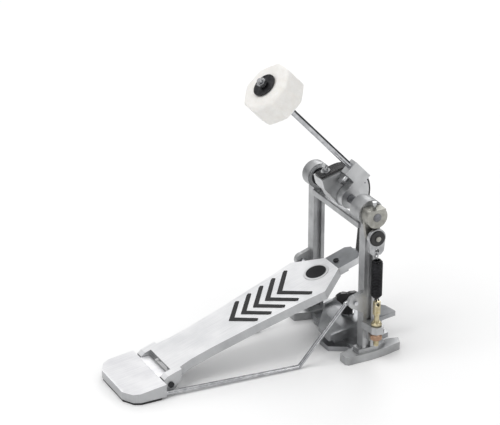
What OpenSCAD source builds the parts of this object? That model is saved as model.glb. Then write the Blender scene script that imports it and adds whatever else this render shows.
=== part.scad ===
// Bass drum pedal: cast frame with hoop clamp, hinged footboard, strap-driven
// axle with felt beater, and a tensioned return spring on the player's right.
// Frame: X player's right, Y from heel to drum, Z up, origin on the floor below the axle.

/* [Frame] */
// Height of the axle above the floor
axle_height = 186; // [181:1:192]
// Outside width over the two posts
post_span = 133; // [130:1:145]
// Width of each post, side to side
post_width = 13; // [11:0.5:14]
// Depth of each post, front to back
post_depth = 15; // [13:0.5:18]
// Outside radius of the bearing bosses
boss_radius = 15.5; // [14.5:0.5:17]
// Height of the two feet
foot_height = 10; // [8:0.5:12]
// Thickness of the base plate under the hoop clamp
base_thickness = 6; // [5:0.5:7]

/* [Axle and bearings] */
// Axle radius
axle_radius = 5; // [4:0.5:6]
// Bearing outer radius
bearing_radius = 11; // [10:0.5:12]
// Radial clearance of every running fit
running_fit = 0.05; // [0.02:0.01:0.08]

/* [Cam and strap] */
// Radius of the cam under the strap
cam_radius = 31.5; // [28:0.5:33]
// Strap width
strap_width = 16; // [14:1:20]
// Strap thickness
strap_thickness = 2; // [1.5:0.1:2.4]

/* [Beater] */
// Angle of the beater rod from upright, leaning to the player
beater_tilt = 43.3; // [35:0.1:50]
// Beater rod radius
rod_radius = 3.5; // [3:0.1:4]
// Distance of the rod line in front of the axle
rod_offset = 27; // [25:0.5:29]
// Distance along the rod from axle level to the top of the felt head
head_reach = 187; // [170:1:200]
// Felt head length
head_length = 33; // [28:1:42]
// Felt head radius
head_radius = 32; // [26:0.5:34]

/* [Footboard] */
// Footboard slope
board_slope = 18; // [16:0.1:18.5]
// Heel hinge pin distance behind the axle
heel_distance = 237; // [230:1:248]
// Heel hinge pin height
heel_pin_height = 12; // [11.5:0.5:14]
// Heel hinge pin radius
heel_pin_radius = 3.5; // [3:0.1:4]
// Footboard plate thickness
board_thickness = 3.5; // [3:0.1:4]
// Depth of the footboard's side skirts
skirt_depth = 11; // [9:0.5:12]
// Widest half-width of the footboard
board_half_width = 42; // [38:0.5:45]
// Number of grip ridges
grip_count = 5; // [3:1:5]

/* [Heel plate] */
// Heel plate half-width
heel_half_width = 45.5; // [44.5:0.5:50]
// Heel plate height at its rear edge
heel_height = 12.5; // [11.5:0.5:14]
// Rubber sole thickness
sole_thickness = 3; // [2:0.5:4]

/* [Spring] */
// Distance of the crank pin below the axle
crank_radius = 25; // [23:0.5:26]
// Spring outside radius
spring_radius = 6.7; // [5.5:0.1:7.2]
// Spring line outside the right post's outer face
spring_offset = 13.5; // [13:0.5:16]

/* [Hidden] */
$fn = 64;
eps = 0.01;
post_x = post_span / 2 - post_width / 2;
post_inner = post_x - post_width / 2;
post_outer = post_span / 2;
spring_x = post_outer + spring_offset;
post_rear = -6.5;
post_front = post_rear + post_depth;
rib = 4.5;
web = 5;
boss_inner_right = 46;
boss_inner_left = 52;
foot_outer = post_outer + 4.5;
foot_inner = post_outer - 16.4;
plate_half = foot_inner - 0.2;
boss_wall = boss_radius - bearing_radius;
hub_radius = 14;
cam_x = -0.5;
flange = 2;
cam_half = strap_width / 2 + 0.5;
cam_near = cam_x + cam_half + flange;
flange_radius = cam_radius - 4;
strap_gap = 0.3;
tail_angle = 105;
tail_length = 24;
holder_near = cam_near + 11.5;
holder_x = cam_near + 0.5;
rod_x = (holder_near + holder_x) / 2;
lever_x = post_outer + 0.6;
lever_end = lever_x + 14;
lever_radius = 13.5;
lever_flat = 4.5;
lever_half = 11;
holder_ring = 12.5;
board_top = 11.4;
board_rear = 8;
board_toe = 241;
tongue_half = 15.8;
tongue_end = 274;
tongue_thick = 8;
knuckle_half = 25.6;
knuckle_radius = 6.5;
heel_top = heel_pin_height + knuckle_radius;
ear_half = 36.5;
ear_inner = knuckle_half + 0.4;
stay_heel_x = ear_half + 4.7;
stay_heel_z = 5.2;
ear_radius = 8.5;
heel_front = -heel_distance - ear_radius - 0.9;
jaw_pivot = [-14, 13];
jaw_pivot_radius = 2.5;
wing_pos = [2, 10];
wing_radius = 3;
wing_level = 46.5;
jaw_plan = [[-26, 46], [-32, 20], [-32, -2], [0, -28], [29, -30], [33, -8], [34, 20], [32, 58], [22, 58],
  [18, 42], [-14, 42], [-18, 50]];
bracket_z = 41;
bracket_thick = 9;
tension_y = 3;
tension_x = spring_x + 0.5;
tension_radius = 3;
hook_radius = 4.5;
hook_wire = 1;
link_hole = 16;
rod_eye = bracket_z + 35.5;
bush_radius = 9;
crank_pin = 3;
ear_hole = [-17.5, 77];
stay_radius = 2.5;
stay_x = post_outer - 4;

module box(lo, hi) { translate(lo) cube([hi[0] - lo[0], hi[1] - lo[1], hi[2] - lo[2]]); }
module x_rod(r, x0, x1) { translate([x0, 0, 0]) rotate([0, 90, 0]) cylinder(r = r, h = x1 - x0); }
module at_axle() { translate([0, 0, axle_height]) children(); }
module at_rod() { at_axle() rotate([beater_tilt, 0, 0]) children(); }
module at_board() { translate([0, -heel_distance, heel_pin_height]) rotate([board_slope, 0, 0]) children(); }
// Extrudes a profile drawn in Y and Z along X, from x0 to x1
module x_slab(x0, x1) { translate([x0, 0, 0]) rotate([90, 0, 90]) linear_extrude(x1 - x0) children(); }

// ---- cast frame ----
module post_body(side, boss_in) {
  boss_out = post_outer;
  xa = post_inner;
  difference() {
    union() {
      mirror([side < 0 ? 1 : 0, 0, 0]) {
        box([xa, post_rear, foot_height - 1], [post_outer, post_rear + rib, axle_height - 6]);
        box([xa, post_front - rib, foot_height - 1], [post_outer, post_front, axle_height - 6]);
        box([post_x - web / 2, post_rear + 1, foot_height - 1], [post_x + web / 2, post_front - 1, axle_height - 6]);
        at_axle() x_rod(boss_radius, boss_in, boss_out);
        at_axle() x_rod(boss_radius - 1.6, boss_in - 1.2, boss_out);
        linear_extrude(foot_height) polygon([[post_outer - 10.5, -30], [post_outer + 1.5, -30],
          [foot_outer, -27], [foot_outer, 4],
          [foot_outer - 2, 23], [foot_outer - 7.5, 46], [post_outer - 13.5, 50], [foot_inner, 40],
          [foot_inner, -8]]);
        // raised step where the post meets the foot
        linear_extrude(foot_height + 5) polygon([[post_outer - 12.5, -12], [post_outer + 1, -12],
          [post_outer + 1, 14], [post_outer - 4.5, 26], [post_outer - 10.5, 26], [post_outer - 13, 14]]);
        // ear that carries the stay rod
        x_slab(post_outer - 6, post_outer) union() {
          translate([ear_hole[0], ear_hole[1]]) circle(r = 8);
          polygon([[ear_hole[0], ear_hole[1] + 8], [post_rear + 1, ear_hole[1] + 12],
            [post_rear + 1, ear_hole[1] - 16], [ear_hole[0] - 2, ear_hole[1] - 7.7]]);
        }
      }
    }
    mirror([side < 0 ? 1 : 0, 0, 0]) {
      at_axle() x_rod(bearing_radius, boss_in - 2, boss_out - 5);
      at_axle() x_rod(axle_radius + 1.2, boss_in - 2, boss_out + 2);
      translate([0, ear_hole[0], ear_hole[1]]) x_rod(stay_radius + running_fit, 30, 100);
    }
  }
}
module left_post() color("#a9abad") post_body(-1, boss_inner_left);
module right_post() color("#a9abad") difference() {
  union() {
    post_body(1, boss_inner_right);
    // shelf that carries the spring tension rod
    translate([0, 0, bracket_z]) linear_extrude(bracket_thick) polygon([[post_outer - 2, -7.5],
      [tension_x - 3, tension_y - 8], [tension_x + 3, tension_y - 8], [tension_x + 8, tension_y - 4],
      [tension_x + 8, tension_y + 4], [tension_x + 3, tension_y + 8], [post_outer - 2, post_front]]);
    x_slab(post_outer - 2, tension_x - 8) polygon([[-3, bracket_z + 1], [4, bracket_z + 1],
      [3, bracket_z - 14], [-2, bracket_z - 14]]);
  }
  translate([tension_x, tension_y, bracket_z - 2]) cylinder(r = tension_radius + running_fit, h = bracket_thick + 4);
}
module yoke_bar() color("#b4b6b8") {
  box([-post_inner, -8.8, axle_height - 22.5], [post_inner, -6.3, axle_height - 15.8]);
  box([-post_inner, -8.8, axle_height - 22.5], [post_inner, 5, axle_height - 20.5]);
  for (s = [-1, 1]) box([s * 45 - 1.5, -7, axle_height - 21], [s * 45 + 1.5, 4, axle_height - 17.5]);
}
module base_plate() color("#8f9193") difference() {
  union() {
    linear_extrude(base_thickness) polygon([[-plate_half, -8], [-plate_half, 36], [-34, 36], [-30, 50], [30, 50], [34, 36],
      [plate_half, 36], [plate_half, -8], [40, -12], [29, -31], [9, -31], [-13, -12], [-40, -12]]);
    // raised ribs along the rear edge and under the clamp
    box([-plate_half + 0.4, -11, base_thickness - 1], [-14, -7, base_thickness + 3]);
    box([36, -10, base_thickness - 1], [plate_half - 0.4, -6, base_thickness + 3]);
    box([-plate_half + 0.4, 8, base_thickness - 1], [-36, 12, base_thickness + 3]);
    box([36, 8, base_thickness - 1], [plate_half - 0.4, 12, base_thickness + 3]);
    // boss for the wing screw and two pivot ears for the jaw
    translate([wing_pos[0], wing_pos[1], base_thickness - 1]) cylinder(r = 7, h = 5);
    for (x = [6, 22]) x_slab(x - 2.5, x + 2.5) union() {
      translate(jaw_pivot) circle(r = 4.5);
      polygon([[jaw_pivot[0] - 4.5, jaw_pivot[1]], [jaw_pivot[0] + 4.5, jaw_pivot[1]],
        [jaw_pivot[0] + 6, base_thickness - 1], [jaw_pivot[0] - 6, base_thickness - 1]]);
    }
  }
  translate([wing_pos[0], wing_pos[1], -1]) cylinder(r = wing_radius + running_fit, h = 20);
  translate([0, jaw_pivot[0], jaw_pivot[1]]) x_rod(jaw_pivot_radius + running_fit, -30, 30);
}
module clamp_pad() color("#1c1c1e") box([-26, 20, base_thickness + 0.3], [26, 47, base_thickness + 2.3]);

// ---- rocker jaw of the hoop clamp ----
module jaw_pin() color("#c8cacc") translate([0, jaw_pivot[0], jaw_pivot[1]]) x_rod(jaw_pivot_radius, 2, 26);
module clamp_jaw() color("#a2a4a6") difference() {
  union() {
    // sloping top plate
    intersection() {
      linear_extrude(60) polygon(jaw_plan);
      x_slab(-40, 40) polygon([[-40, 14], [-31, 17], [-10, 24.5], [6, 28], [44, 31], [70, 33], [70, 28], [44, 26],
        [6, 23], [-10, 19.5], [-31, 12], [-40, 9]]);
    }
    // deep near side wall and shallow far rib
    x_slab(28.5, 32) polygon([[-30, 15], [-30, 19], [-28, 21.5], [-8, 25], [6, 29.5], [20, 38], [36, 46], [46, 42],
      [58, 33], [58, 28], [36, 24], [16, 23], [12, 13], [-20, 13]]);
    x_slab(-31.5, -28) polygon([[-4, 20], [16, 23], [34, 25.5], [44, 27], [44, 31], [22, 39], [8, 32], [-4, 29]]);
    // front lip that bites on the hoop
    box([-24, 34, 22.5], [31, 40, 29]);
    // pivot lug between the base ears
    x_slab(9.5, 18.5) union() {
      translate(jaw_pivot) circle(r = 4.5);
      polygon([[jaw_pivot[0] - 4.5, jaw_pivot[1]], [jaw_pivot[0] + 4.5, jaw_pivot[1]],
        [jaw_pivot[0] + 8, 22], [jaw_pivot[0] - 5, 18]]);
    }
  }
  translate([wing_pos[0], wing_pos[1], 0]) cylinder(r = wing_radius + 2, h = 60);
  translate([0, jaw_pivot[0], jaw_pivot[1]]) x_rod(jaw_pivot_radius + running_fit, -30, 27);
  // flat seat for the washer
  translate([wing_pos[0], wing_pos[1], 28.2]) cylinder(r = 9, h = 20);
}
module jaw_pad() color("#1c1c1e") box([-23, 34.5, 20], [30, 39.5, 22.2]);
module wing_washer() color("#c8cacc") translate([wing_pos[0], wing_pos[1], 28.3]) difference() {
  cylinder(r = 8, h = 1.6);
  translate([0, 0, -1]) cylinder(r = wing_radius + running_fit, h = 4);
}
module wing_screw() color("#1b1b1d") translate([wing_pos[0], wing_pos[1], 0]) {
  translate([0, 0, 4]) cylinder(r = wing_radius, h = wing_level - 4);
  translate([0, 0, 30]) cylinder(r = 6.5, h = wing_level - 30);
  for (s = [0, 180]) rotate([0, 0, s + 78]) rotate([90, 0, 0]) translate([0, 0, -2.6]) linear_extrude(5.2)
    polygon([[0, wing_level - 6], [7, wing_level - 6], [10, wing_level - 2], [14.5, wing_level + 2],
      [14, wing_level + 6], [9, wing_level + 9], [3, wing_level + 9], [0, wing_level + 8]]);
}

// ---- heel ----
module heel_plate() color("#b7b9bb") difference() {
  union() {
    intersection() {
      translate([0, 0, sole_thickness]) linear_extrude(heel_top)
        polygon([[-heel_half_width, heel_front], [heel_half_width, heel_front], [heel_half_width, -278],
          [heel_half_width - 4, -286], [28, -293.5], [-28, -293.5], [-heel_half_width + 4, -286],
          [-heel_half_width, -278]]);
      x_slab(-heel_half_width - 1, heel_half_width + 1) polygon([[-295, 0], [-295, heel_height], [-291.5, heel_height],
        [heel_front + 0.5, heel_top], [heel_front + 0.5, 0]]);
    }
    // hinge knuckle between the footboard's ears
    translate([0, -heel_distance, heel_pin_height]) x_rod(knuckle_radius, -knuckle_half, knuckle_half);
    box([-knuckle_half, heel_front - 1, sole_thickness + 3], [knuckle_half, -heel_distance, heel_top]);
  }
  translate([0, -heel_distance, heel_pin_height]) x_rod(heel_pin_radius + running_fit, -60, 60);
  // hollow underside
  box([-34, -284, -1], [34, -257, heel_height - 5]);
  for (s = [-1, 1]) translate([s * stay_heel_x, -265, stay_heel_z]) rotate([-90, 0, 0])
    cylinder(r = stay_radius + running_fit, h = 30);
}
module heel_sole() color("#18181a") difference() {
  linear_extrude(sole_thickness - 0.1) polygon([[-heel_half_width + 1, -252], [heel_half_width - 1, -252],
    [heel_half_width - 1, -277.5], [heel_half_width - 5, -285], [27.5, -292.5], [-27.5, -292.5],
    [-heel_half_width + 5, -285], [-heel_half_width + 1, -277.5]]);
  box([-34, -284, -1], [34, -257, 5]);
  for (s = [-1, 1]) translate([s * stay_heel_x, -266, stay_heel_z]) rotate([-90, 0, 0])
    cylinder(r = stay_radius + 0.35, h = 30);
}
module hinge_pin() color("#d5d7d9") translate([0, -heel_distance, heel_pin_height]) {
  x_rod(heel_pin_radius, -ear_half - 1.2, ear_half + 1.7);
  x_rod(heel_pin_radius + 1.5, -ear_half - 1.8, -ear_half - 0.1);
}
// Stay rod from the heel plate along the floor and up to the post's ear
module stay(side) {
  p = [[stay_heel_x, -264, stay_heel_z], [stay_heel_x, heel_front + 3.2, stay_heel_z], [post_outer - 15.5, -81, stay_radius + 0.3],
    [stay_x - 7, ear_hole[0] - 6, ear_hole[1] - 4.5], [stay_x - 5.5, ear_hole[0], ear_hole[1]],
    [post_outer + 3, ear_hole[0], ear_hole[1]]];
  mirror([side < 0 ? 1 : 0, 0, 0]) {
    for (i = [0 : len(p) - 2]) segment(p[i], p[i + 1], stay_radius - 0.02 * i);
    for (i = [1 : len(p) - 2]) translate(p[i]) sphere(r = stay_radius + 0.3, $fn = 24);
  }
}
module segment(a, b, r) {
  d = b - a;
  translate(a) rotate([0, acos(d[2] / norm(d)), atan2(d[1], d[0])]) cylinder(r = r, h = norm(d), $fn = 24);
}
module stay_left() color("#dfe1e3") stay(-1);
module stay_right() color("#dfe1e3") stay(1);

// ---- footboard ----
function board_side(i) = [[board_rear, 34 - i], [20, 31 - i], [33, 29 - i], [60, 29 - i], [112, 32 - i],
  [177, board_half_width - 4 - i], [207 - i * 0.3, board_half_width - i], [board_toe - i, tongue_half - i * 0.3]];
module board_outline(i) polygon(concat(
  [for (p = board_side(i)) [p[1], p[0]]],
  [for (k = [len(board_side(i)) - 1 : -1 : 0]) [-board_side(i)[k][1], board_side(i)[k][0]]]));
module footboard() color("#c9cbcd") difference() {
  union() {
    at_board() {
      difference() {
        translate([0, 0, board_top - skirt_depth]) linear_extrude(skirt_depth) board_outline(0);
        translate([0, 0, board_top - skirt_depth - 1]) linear_extrude(skirt_depth + 1 - board_thickness)
          board_outline(2.6);
      }
      // under-ribs
      for (x = [-11, 11]) box([x - 1.2, board_rear + 1, board_top - skirt_depth + 1], [x + 1.2, board_toe - 3, board_top - 2]);
      for (s = [60, 110, 160, 205]) box([-28, s - 1.2, board_top - skirt_depth + 2], [28, s + 1.2, board_top - 2]);
      // hinge ears
      for (side = [-1, 1]) x_slab(side > 0 ? ear_inner : -ear_half, side > 0 ? ear_half : -ear_inner) union() {
        circle(r = ear_radius);
        polygon([[-ear_radius + 0.4, 1], [-5.6, board_top - 2.2], [0, board_top], [18, board_top], [14, board_top - skirt_depth],
          [6, -ear_radius + 2.6], [0, 0]]);
      }
      // seat under the toe plate
      box([-tongue_half + 1, board_toe - 6, board_top - tongue_thick - 2.6], [tongue_half - 1, board_toe + 12,
        board_top - tongue_thick - 0.05]);
    }
  }
  at_board() x_rod(heel_pin_radius + running_fit, -60, 60);
  at_board() grips(0.15);
  at_board() translate([0, 219, board_top - 1]) cylinder(r = 15.2, h = 3);
  at_board() translate([0, board_toe + 6, 0]) cylinder(r = 2.2 + running_fit, h = 20);
}
// Chevron grip strips let into the top of the board
module grips(g) {
  for (k = [0 : grip_count - 1]) {
    s = 103 + k * 16.3;
    h = 24 + k * 1.6;
    translate([0, 0, board_top - 1 - g]) linear_extrude(1.8 + g) polygon([[0, s - 3.4 - g],
      [h + 1 + g, s + 0.78 * h - 1.2 - g], [h + 3 + g, s + 0.78 * h + 1.8], [h, s + 0.78 * h + 4.6 + g],
      [0, s + 4 + g], [-h, s + 0.78 * h + 4.6 + g], [-h - 3 - g, s + 0.78 * h + 1.8],
      [-h - 1 - g, s + 0.78 * h - 1.2 - g]]);
  }
}
module grip_strips() color("#141416") at_board() grips(0);
// Plain round plate let into the toe end of the board
module board_disc() color("#dddfe1") at_board() translate([0, 219, board_top - 0.95]) {
  cylinder(r = 15, h = 1.5);
}
// Toe plate that holds the lower end of the strap
module toe_plate() color("#6d6f72") difference() {
  union() {
    at_board() translate([0, 0, board_top - tongue_thick]) linear_extrude(tongue_thick) polygon([
      [-tongue_half, board_toe + 0.2], [tongue_half, board_toe + 0.2], [tongue_half, tongue_end - 6],
      [tongue_half - 5, tongue_end], [-tongue_half + 5, tongue_end], [-tongue_half, tongue_end - 6]]);
    // lip that backs the strap
    at_axle() x_slab(cam_x - strap_width / 2 - 1, cam_x + strap_width / 2 + 1) polygon([strap_pt(-0.3, 2),
      strap_pt(-0.3, -7), strap_pt(-5, -7), board_pt(tongue_end - 8, board_top - tongue_thick - 1),
      board_pt(tongue_end - 8, board_top - 3), board_pt(tongue_end - 0.5, board_top - 2)]);
  }
  at_board() translate([0, board_toe + 6, 0]) cylinder(r = 2.2 + running_fit, h = 20);
  clip_pins(running_fit, 7);
}
module toe_screw() color("#3c3d40") at_board() translate([0, board_toe + 6, 0]) {
  translate([0, 0, board_top - 11]) cylinder(r = 2.2, h = 12);
  translate([0, 0, board_top + 0.02]) cylinder(r = 3.4, h = 1.5);
}
// Points on the board's side view and on the strap's straight run, seen from the axle
function board_pt(s, z) = [-heel_distance + s * cos(board_slope) - z * sin(board_slope),
  heel_pin_height + s * sin(board_slope) + z * cos(board_slope) - axle_height];
function strap_pt(out, up) = strap_end + (out + sign(out) * strap_thickness / 2) * dir(strap_low)
  + up * dir(strap_low + 90);
module clip_pins(g, h) at_axle() for (x = [-5, 5]) translate([cam_x + x, 0, 0]) multmatrix([[1, 0, 0, 0],
  [0, 1, 0, strap_pt(2.4, -3)[0]], [0, 0, 1, strap_pt(2.4, -3)[1]], [0, 0, 0, 1]])
  rotate([90 + strap_low, 0, 0]) cylinder(r = 1.5 + g, h = h + (g > 0 ? 2 : 0), $fn = 32);
// Clip and its two screws that clamp the strap to the lip
module strap_clip() color("#c4c6c8") {
  at_axle() x_slab(cam_x - strap_width / 2 - 1, cam_x + strap_width / 2 + 1) polygon([strap_pt(0.3, 1.5),
    strap_pt(0.3, -6.5), strap_pt(2.6, -6.5), strap_pt(2.6, 1.5)]);
  clip_pins(0, 7);
}

// ---- drive: axle, cam, beater holder, spring lever ----
module axle() color("#d9dbdd") at_axle() x_rod(axle_radius, -post_outer - 1, lever_end + 0.4);
module bearing(x0, x1) at_axle() difference() {
  x_rod(bearing_radius - 0.02, x0, x1);
  x_rod(axle_radius + running_fit, x0 - 1, x1 + 1);
}
module bearing_left() color("#2a2a2c") bearing(-post_outer + 5.1, -boss_inner_left + 0.6);
module bearing_right() color("#2a2a2c") bearing(boss_inner_right - 0.6, post_outer - 5.1);
function dir(a) = [cos(a), sin(a)];
// Side view of the cam: an arc from the front to the tail, then the flat tail
function cam_profile(r, tail) = concat([[0, -hub_radius + 2], [8, -hub_radius + 5]],
  [for (k = [0 : 40]) r * dir(-12 + (tail_angle + 12) * k / 40)],
  [tail * dir(tail_angle), tail * dir(tail_angle) + tail_length * dir(tail_angle + 90),
   (cam_radius - 12) * dir(tail_angle) + tail_length * dir(tail_angle + 90), [-hub_radius + 1, -5]]);
module cam() color("#b9bbbd") at_axle() difference() {
  union() {
    x_slab(cam_x - cam_half, cam_x + cam_half) polygon(cam_profile(cam_radius, cam_radius));
    for (x = [cam_x - cam_half - flange, cam_near - flange]) x_slab(x, x + flange)
      polygon(cam_profile(flange_radius, cam_radius - 0.1));
    x_rod(hub_radius, cam_x - cam_half - flange - 8, cam_near - 0.4);
  }
  x_rod(axle_radius + 0.03, -40, 40);
  rotate([tail_angle - 90, 0, 0]) translate([cam_x, -13, 12]) cylinder(r = 2 + running_fit, h = 30);
}
// Strap outline: along the tail, round the cam, then straight down into the toe plate's slot
strap_in = cam_radius + strap_gap;
strap_mid = strap_in + strap_thickness / 2;
strap_end = board_pt(tongue_end + 4.5, board_top - 6);
strap_low = atan2(strap_end[1], strap_end[0]) + acos(strap_mid / norm(strap_end));
function strap_side(r) = concat([r * dir(tail_angle) + (tail_length - 1) * dir(tail_angle + 90)],
  [for (k = [0 : 24]) r * dir(tail_angle + (strap_low - tail_angle) * k / 24)],
  [strap_end + (r - strap_mid) * dir(strap_low) + 7 * dir(strap_low - 90)]);
module drive_strap() color("#17171a") at_axle() difference() {
  x_slab(cam_x - strap_width / 2, cam_x + strap_width / 2) polygon(concat(strap_side(strap_in),
    [for (k = [26 : -1 : 0]) strap_side(strap_in + strap_thickness)[k]]));
  rotate([tail_angle - 90, 0, 0]) translate([cam_x, -13, 12]) cylinder(r = 2.6, h = 30);
  translate([0, 0, -axle_height]) clip_pins(0.4, 7);
}
module strap_bolt() color("#d4d6d8") at_axle() rotate([tail_angle - 90, 0, 0]) translate([cam_x, -13, 0]) {
  translate([0, 0, 14]) cylinder(r = 2, h = cam_radius - 10);
  translate([0, 0, cam_radius + strap_gap * 2 + strap_thickness]) cylinder(r = 5.5, h = 1.2);
  translate([0, 0, cam_radius + strap_gap * 2 + strap_thickness + 1.1]) cylinder(r = 3.4, h = 3.2, $fn = 6);
  translate([0, 0, cam_radius + strap_thickness + 4]) cylinder(r = 2, h = 3.4);
  translate([0, 0, cam_radius + strap_thickness + 7.2]) cylinder(r = 2.7, h = 2.6);
}
module beater_holder() color("#aeb0b2") at_rod() difference() {
  union() {
    x_rod(holder_ring, holder_x, holder_near);
    // neck to the clamp block
    box([holder_x, 0, 0.2], [holder_near, rod_offset - 8, holder_ring - 0.7]);
    box([holder_x, rod_offset - 11, 0], [holder_near, rod_offset + 7.5, 28]);
  }
  x_rod(axle_radius + 0.03, 0, 40);
  translate([rod_x, rod_offset, -20]) cylinder(r = rod_radius + running_fit, h = 80);
  translate([rod_x, 0, 21]) rotate([-90, 0, 0]) cylinder(r = 2.5 + running_fit, h = rod_offset);
}
module holder_bolt() color("#cfd1d3") at_rod() translate([rod_x, 0, 21]) {
  translate([0, 9, 0]) rotate([-90, 0, 0]) cylinder(r = 2.5, h = rod_offset - rod_radius - 9.2);
  translate([-3.5, 5, -3.5]) cube([7, 4.5, 7]);
}
module spring_lever() color("#a8aaac") at_axle() difference() {
  union() {
    x_slab(lever_x, lever_end) difference() {
      union() {
        circle(r = lever_radius - 0.5);
        translate([-lever_half, -5]) square([2 * lever_half, lever_radius + 4]);
      }
      translate([-20, lever_radius - lever_flat]) square([40, 10]);
    }
    // arm down to the crank pin
    x_slab(lever_x, lever_x + 5) union() {
      polygon([[-12, -4], [12, -4], [8, -crank_radius], [-8, -crank_radius]]);
      translate([0, -crank_radius]) circle(r = 8);
    }
    translate([0, 0, -crank_radius]) x_rod(crank_pin, lever_x + 4, spring_x + 5.5);
  }
  x_rod(axle_radius + 0.03, 60, 100);
  translate([(lever_x + lever_end) / 2, 0, 0]) cylinder(r = 2 + running_fit, h = 30);
}
module lever_screw() color("#d6d8da") at_axle() translate([(lever_x + lever_end) / 2, 0, 0]) {
  translate([0, 0, axle_radius + 0.3]) cylinder(r = 2, h = 9);
  translate([0, 0, lever_radius - 0.2]) cylinder(r = 2.6, h = 3.5);
}

// ---- beater ----
module beater_rod() color("#e2e4e6") at_rod() translate([rod_x, rod_offset, -4]) {
  cylinder(r = rod_radius, h = head_reach + 4 + 3);
  cylinder(r = rod_radius - 0.8, h = head_reach + 4 + 11);
}
module felt_head() color("#efeeea") at_rod() translate([rod_x, rod_offset, head_reach - head_length])
  difference() {
    rotate_extrude() polygon([[0, 0], [head_radius - 7, 0], [head_radius - 2, 2], [head_radius, 6.5],
      [head_radius, head_length - 6.5], [head_radius - 2, head_length - 2], [head_radius - 7, head_length],
      [0, head_length]]);
    translate([0, 0, -1]) cylinder(r = rod_radius + 0.3, h = head_length + 2);
  }
module head_washer() color("#2b2b2d") at_rod() translate([rod_x, rod_offset, head_reach + 0.3]) difference() {
  cylinder(r = 14, h = 1.6);
  translate([0, 0, -1]) cylinder(r = rod_radius + 0.05, h = 5);
}
module head_collar() color("#3a3a3c") at_rod() translate([rod_x, rod_offset, head_reach - head_length - 4.3])
  difference() {
    cylinder(r = 9, h = 4);
    translate([0, 0, -1]) cylinder(r = rod_radius + 0.05, h = 7);
  }
module head_nut() color("#c9cbcd") at_rod() translate([rod_x, rod_offset, head_reach + 3.1]) difference() {
  cylinder(r = 6, h = 4.5, $fn = 6);
  translate([0, 0, -1]) cylinder(r = rod_radius - 0.75, h = 8);
}

// ---- return spring ----
module link_plate() color("#c2c4c6") at_axle() translate([0, 0, -crank_radius]) difference() {
  x_slab(spring_x - 2.4, spring_x + 2.4) polygon(concat(
    [for (t = [-18 : 6 : 198]) (bush_radius + 2) * dir(t)],
    [[-9, -17], [-5, -link_hole - 5], [5, -link_hole - 5], [9, -17]]));
  x_rod(bush_radius + running_fit, 60, 100);
  translate([0, 0, -link_hole]) x_rod(2.6, 60, 100);
}
module link_bush() color("#202022") at_axle() translate([0, 0, -crank_radius]) difference() {
  x_rod(bush_radius, spring_x - 4, spring_x + 4);
  x_rod(crank_pin + running_fit, 60, 100);
}
module ring(r, w) rotate([90, 0, 0]) rotate_extrude() translate([r, 0]) circle(r = w, $fn = 32);
module return_spring() color("#19191b") translate([spring_x, 2, 0]) {
  top = axle_height - crank_radius - link_hole;
  low = rod_eye;
  translate([0, -2, top - hook_radius]) ring(hook_radius, hook_wire);
  translate([0, tension_y - 2, low + hook_radius]) ring(hook_radius, hook_wire);
  translate([-0.7, -0.5, low + 2 * hook_radius - 0.5]) cube([1.4, 1.6, 2.4]);
  translate([-0.7, -2.1, top - 2 * hook_radius - 2.9]) cube([1.4, 2.9, 3.4]);
  translate([0, 0, low + 2 * hook_radius + 1]) difference() {
    cylinder(r = spring_radius, h = top - low - 4 * hook_radius - 3);
    translate([0, 0, 1.6]) cylinder(r = spring_radius - 1.9, h = top - low - 4 * hook_radius - 6.2);
  }
}
module tension_rod() color("#c8b98c") translate([tension_x, tension_y, 0]) difference() {
  union() {
    translate([0, 0, 24]) cylinder(r = tension_radius, h = rod_eye - 10 - 24);
    translate([-2.2 - 0.5, -3.8, rod_eye - 13]) cube([4.4, 7.6, 17]);
  }
  translate([0, 0, rod_eye]) x_rod(2.6, -9, 9);
}
module nut_body(z, h, r) translate([tension_x, tension_y, z]) difference() {
  union() {
    cylinder(r = r, h = h);
    cylinder(r = r + 0.8, h = h * 0.55, $fn = 12);
  }
  translate([0, 0, -1]) cylinder(r = tension_radius + running_fit, h = h + 2);
}
module tension_nut() color("#c9a27e") nut_body(bracket_z - 9.1, 9, 6);
module lock_nut() color("#c8b98c") nut_body(bracket_z + bracket_thick + 0.1, 4.5, 5.5);

left_post();
right_post();
yoke_bar();
base_plate();
clamp_pad();
jaw_pin();
clamp_jaw();
jaw_pad();
wing_washer();
wing_screw();
heel_plate();
heel_sole();
hinge_pin();
stay_left();
stay_right();
footboard();
grip_strips();
board_disc();
toe_plate();
toe_screw();
axle();
bearing_left();
bearing_right();
cam();
drive_strap();
strap_bolt();
strap_clip();
beater_holder();
holder_bolt();
spring_lever();
lever_screw();
beater_rod();
felt_head();
head_washer();
head_collar();
head_nut();
link_plate();
link_bush();
return_spring();
tension_rod();
tension_nut();
lock_nut();
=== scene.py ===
# %% [markdown]
# A bass drum pedal stands on the floor and swings a felt beater when its board is pressed.
# The exact metal pieces come from the imported model, so this lesson spends its time on finishes,
# soft edges and the few shapes that a plain solid can't give: felt, coils, threads and webbing.
# The fixed frame is loaded first, and a small helper reads the box of any of its pieces.

# %% Load the fixed frame
import bpy
import bmesh
from math import sin, cos, pi, radians, degrees, atan2, acos, hypot
from mathutils import Vector, Matrix, noise


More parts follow.
